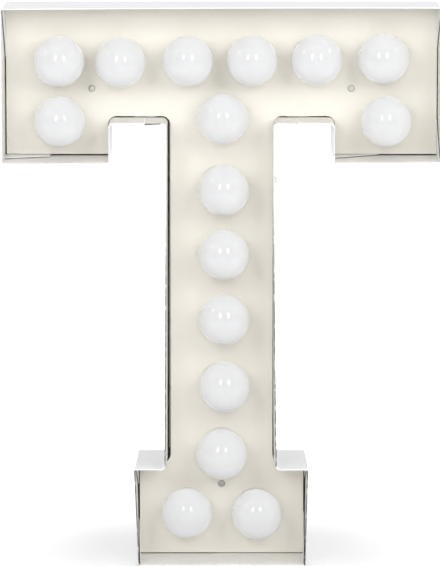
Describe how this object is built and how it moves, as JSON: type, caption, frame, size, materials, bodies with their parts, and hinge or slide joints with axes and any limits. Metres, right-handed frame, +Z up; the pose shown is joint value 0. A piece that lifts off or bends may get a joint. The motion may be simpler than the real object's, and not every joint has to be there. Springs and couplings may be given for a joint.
{
  "type": "marquee letter lamp",
  "caption": "Free-standing slab-serif T of white sheet metal: a deep tray with a recessed cream face plate and rows of screw-in opal globe bulbs, switched at the back.",
  "frame": {"origin": "middle of the foot's underside, where the letter stands", "axes": "+Z up along the stem, +X to the right seen from the front, the open front faces -Y"},
  "size_m": [0.3936, 0.1064, 0.5],
  "materials": {
    "white_paint": "satin white powder coat on sheet steel",
    "cream_paint": "satin cream powder coat on sheet steel",
    "zinc_steel": "bright zinc plate",
    "white_fastener": "painted over with the walls",
    "plate_screw": "zinc plate, slightly dull",
    "white_plastic": "moulded white thermoplastic",
    "brass": "bare stamped brass",
    "nickel_pin": "nickel plate on brass",
    "brown_pvc": "wire insulation",
    "blue_pvc": "wire insulation",
    "green_pvc": "wire insulation",
    "black_plastic": "fine textured moulding",
    "rocker_plastic": "polished moulding",
    "opal_glass": "glossy opal glass",
    "bulb_cap": "nickel-bright rolled cap"
  },
  "bodies": {
    "letter": {"bar_return": "white_paint", "left_return": "white_paint", "right_return": "white_paint", "seam_straps": "zinc_steel", "seam_rivets": "white_fastener", "face_plate": "cream_paint", "plate_pillars": "zinc_steel", "plate_screws": "plate_screw", "back_panel": "white_paint", "back_screws": "white_fastener", "lampholder_bodies": "white_plastic", "lampholder_rings": "white_plastic", "thread_shells": "brass", "centre_contacts": "brass", "terminal_blocks": "brass", "live_wires": "brown_pvc", "neutral_wires": "blue_pvc", "earth_wire": "green_pvc", "earth_stud": "zinc_steel", "inlet_body": "black_plastic", "inlet_pins": "nickel_pin", "inlet_screws": "zinc_steel", "switch_housing": "black_plastic", "switch_terminals": "brass"},
    "rocker": {"switch_rocker": "rocker_plastic"},
    "bulb_01_cap": {"bulb_01_cap": "bulb_cap"},
    "bulb_01_globe": {"bulb_01_globe": "opal_glass"},
    "bulb_02_cap": {"bulb_02_cap": "bulb_cap"},
    "bulb_02_globe": {"bulb_02_globe": "opal_glass"},
    "bulb_03_cap": {"bulb_03_cap": "bulb_cap"},
    "bulb_03_globe": {"bulb_03_globe": "opal_glass"},
    "bulb_04_cap": {"bulb_04_cap": "bulb_cap"},
    "bulb_04_globe": {"bulb_04_globe": "opal_glass"},
    "bulb_05_cap": {"bulb_05_cap": "bulb_cap"},
    "bulb_05_globe": {"bulb_05_globe": "opal_glass"},
    "bulb_06_cap": {"bulb_06_cap": "bulb_cap"},
    "bulb_06_globe": {"bulb_06_globe": "opal_glass"},
    "bulb_07_cap": {"bulb_07_cap": "bulb_cap"},
    "bulb_07_globe": {"bulb_07_globe": "opal_glass"},
    "bulb_08_cap": {"bulb_08_cap": "bulb_cap"},
    "bulb_08_globe": {"bulb_08_globe": "opal_glass"},
    "bulb_09_cap": {"bulb_09_cap": "bulb_cap"},
    "bulb_09_globe": {"bulb_09_globe": "opal_glass"},
    "bulb_10_cap": {"bulb_10_cap": "bulb_cap"},
    "bulb_10_globe": {"bulb_10_globe": "opal_glass"},
    "bulb_11_cap": {"bulb_11_cap": "bulb_cap"},
    "bulb_11_globe": {"bulb_11_globe": "opal_glass"},
    "bulb_12_cap": {"bulb_12_cap": "bulb_cap"},
    "bulb_12_globe": {"bulb_12_globe": "opal_glass"},
    "bulb_13_cap": {"bulb_13_cap": "bulb_cap"},
    "bulb_13_globe": {"bulb_13_globe": "opal_glass"},
    "bulb_14_cap": {"bulb_14_cap": "bulb_cap"},
    "bulb_14_globe": {"bulb_14_globe": "opal_glass"},
    "bulb_15_cap": {"bulb_15_cap": "bulb_cap"},
    "bulb_15_globe": {"bulb_15_globe": "opal_glass"},
    "bulb_16_cap": {"bulb_16_cap": "bulb_cap"},
    "bulb_16_globe": {"bulb_16_globe": "opal_glass"}
  },
  "joints": [
    {"name": "rocker_tilt", "type": "hinge", "parent": "letter", "child": "rocker", "pos_m": [0.03, 0.0501, 0.12985], "axis": [1, 0, 0], "range_deg": [0, 20]},
    {"name": "bulb_01_feed", "type": "slide", "parent": "letter", "child": "bulb_01_cap", "axis": [0, -1, 0], "range_m": [0, 0.0142]},
    {"name": "bulb_01_turn", "type": "hinge", "parent": "bulb_01_cap", "child": "bulb_01_globe", "pos_m": [-0.145, 0.001, 0.452], "axis": [0, -1, 0], "range_deg": [0, 1800]},
    {"name": "bulb_02_feed", "type": "slide", "parent": "letter", "child": "bulb_02_cap", "axis": [0, -1, 0], "range_m": [0, 0.0142]},
    {"name": "bulb_02_turn", "type": "hinge", "parent": "bulb_02_cap", "child": "bulb_02_globe", "pos_m": [-0.087, 0.001, 0.452], "axis": [0, -1, 0], "range_deg": [0, 1800]},
    {"name": "bulb_03_feed", "type": "slide", "parent": "letter", "child": "bulb_03_cap", "axis": [0, -1, 0], "range_m": [0, 0.0142]},
    {"name": "bulb_03_turn", "type": "hinge", "parent": "bulb_03_cap", "child": "bulb_03_globe", "pos_m": [-0.029, 0.001, 0.452], "axis": [0, -1, 0], "range_deg": [0, 1800]},
    {"name": "bulb_04_feed", "type": "slide", "parent": "letter", "child": "bulb_04_cap", "axis": [0, -1, 0], "range_m": [0, 0.0142]},
    {"name": "bulb_04_turn", "type": "hinge", "parent": "bulb_04_cap", "child": "bulb_04_globe", "pos_m": [0.029, 0.001, 0.452], "axis": [0, -1, 0], "range_deg": [0, 1800]},
    {"name": "bulb_05_feed", "type": "slide", "parent": "letter", "child": "bulb_05_cap", "axis": [0, -1, 0], "range_m": [0, 0.0142]},
    {"name": "bulb_05_turn", "type": "hinge", "parent": "bulb_05_cap", "child": "bulb_05_globe", "pos_m": [0.087, 0.001, 0.452], "axis": [0, -1, 0], "range_deg": [0, 1800]},
    {"name": "bulb_06_feed", "type": "slide", "parent": "letter", "child": "bulb_06_cap", "axis": [0, -1, 0], "range_m": [0, 0.0142]},
    {"name": "bulb_06_turn", "type": "hinge", "parent": "bulb_06_cap", "child": "bulb_06_globe", "pos_m": [0.145, 0.001, 0.452], "axis": [0, -1, 0], "range_deg": [0, 1800]},
    {"name": "bulb_07_feed", "type": "slide", "parent": "letter", "child": "bulb_07_cap", "axis": [0, -1, 0], "range_m": [0, 0.0142]},
    {"name": "bulb_07_turn", "type": "hinge", "parent": "bulb_07_cap", "child": "bulb_07_globe", "pos_m": [-0.145, 0.001, 0.3985], "axis": [0, -1, 0], "range_deg": [0, 1800]},
    {"name": "bulb_08_feed", "type": "slide", "parent": "letter", "child": "bulb_08_cap", "axis": [0, -1, 0], "range_m": [0, 0.0142]},
    {"name": "bulb_08_turn", "type": "hinge", "parent": "bulb_08_cap", "child": "bulb_08_globe", "pos_m": [0, 0.001, 0.3985], "axis": [0, -1, 0], "range_deg": [0, 1800]},
    {"name": "bulb_09_feed", "type": "slide", "parent": "letter", "child": "bulb_09_cap", "axis": [0, -1, 0], "range_m": [0, 0.0142]},
    {"name": "bulb_09_turn", "type": "hinge", "parent": "bulb_09_cap", "child": "bulb_09_globe", "pos_m": [0.145, 0.001, 0.3985], "axis": [0, -1, 0], "range_deg": [0, 1800]},
    {"name": "bulb_10_feed", "type": "slide", "parent": "letter", "child": "bulb_10_cap", "axis": [0, -1, 0], "range_m": [0, 0.0142]},
    {"name": "bulb_10_turn", "type": "hinge", "parent": "bulb_10_cap", "child": "bulb_10_globe", "pos_m": [0, 0.001, 0.3388], "axis": [0, -1, 0], "range_deg": [0, 1800]},
    {"name": "bulb_11_feed", "type": "slide", "parent": "letter", "child": "bulb_11_cap", "axis": [0, -1, 0], "range_m": [0, 0.0142]},
    {"name": "bulb_11_turn", "type": "hinge", "parent": "bulb_11_cap", "child": "bulb_11_globe", "pos_m": [0, 0.001, 0.2791], "axis": [0, -1, 0], "range_deg": [0, 1800]},
    {"name": "bulb_12_feed", "type": "slide", "parent": "letter", "child": "bulb_12_cap", "axis": [0, -1, 0], "range_m": [0, 0.0142]},
    {"name": "bulb_12_turn", "type": "hinge", "parent": "bulb_12_cap", "child": "bulb_12_globe", "pos_m": [0, 0.001, 0.2194], "axis": [0, -1, 0], "range_deg": [0, 1800]},
    {"name": "bulb_13_feed", "type": "slide", "parent": "letter", "child": "bulb_13_cap", "axis": [0, -1, 0], "range_m": [0, 0.0142]},
    {"name": "bulb_13_turn", "type": "hinge", "parent": "bulb_13_cap", "child": "bulb_13_globe", "pos_m": [0, 0.001, 0.1597], "axis": [0, -1, 0], "range_deg": [0, 1800]},
    {"name": "bulb_14_feed", "type": "slide", "parent": "letter", "child": "bulb_14_cap", "axis": [0, -1, 0], "range_m": [0, 0.0142]},
    {"name": "bulb_14_turn", "type": "hinge", "parent": "bulb_14_cap", "child": "bulb_14_globe", "pos_m": [0, 0.001, 0.1], "axis": [0, -1, 0], "range_deg": [0, 1800]},
    {"name": "bulb_15_feed", "type": "slide", "parent": "letter", "child": "bulb_15_cap", "axis": [0, -1, 0], "range_m": [0, 0.0142]},
    {"name": "bulb_15_turn", "type": "hinge", "parent": "bulb_15_cap", "child": "bulb_15_globe", "pos_m": [-0.031, 0.001, 0.044], "axis": [0, -1, 0], "range_deg": [0, 1800]},
    {"name": "bulb_16_feed", "type": "slide", "parent": "letter", "child": "bulb_16_cap", "axis": [0, -1, 0], "range_m": [0, 0.0142]},
    {"name": "bulb_16_turn", "type": "hinge", "parent": "bulb_16_cap", "child": "bulb_16_globe", "pos_m": [0.031, 0.001, 0.044], "axis": [0, -1, 0], "range_deg": [0, 1800]}
  ],
  "couplings": [
    {"joint": "bulb_01_feed", "follows": "bulb_01_turn", "m_per_rad": 0.00044913},
    {"joint": "bulb_02_feed", "follows": "bulb_02_turn", "m_per_rad": 0.00044913},
    {"joint": "bulb_03_feed", "follows": "bulb_03_turn", "m_per_rad": 0.00044913},
    {"joint": "bulb_04_feed", "follows": "bulb_04_turn", "m_per_rad": 0.00044913},
    {"joint": "bulb_05_feed", "follows": "bulb_05_turn", "m_per_rad": 0.00044913},
    {"joint": "bulb_06_feed", "follows": "bulb_06_turn", "m_per_rad": 0.00044913},
    {"joint": "bulb_07_feed", "follows": "bulb_07_turn", "m_per_rad": 0.00044913},
    {"joint": "bulb_08_feed", "follows": "bulb_08_turn", "m_per_rad": 0.00044913},
    {"joint": "bulb_09_feed", "follows": "bulb_09_turn", "m_per_rad": 0.00044913},
    {"joint": "bulb_10_feed", "follows": "bulb_10_turn", "m_per_rad": 0.00044913},
    {"joint": "bulb_11_feed", "follows": "bulb_11_turn", "m_per_rad": 0.00044913},
    {"joint": "bulb_12_feed", "follows": "bulb_12_turn", "m_per_rad": 0.00044913},
    {"joint": "bulb_13_feed", "follows": "bulb_13_turn", "m_per_rad": 0.00044913},
    {"joint": "bulb_14_feed", "follows": "bulb_14_turn", "m_per_rad": 0.00044913},
    {"joint": "bulb_15_feed", "follows": "bulb_15_turn", "m_per_rad": 0.00044913},
    {"joint": "bulb_16_feed", "follows": "bulb_16_turn", "m_per_rad": 0.00044913}
  ]
}
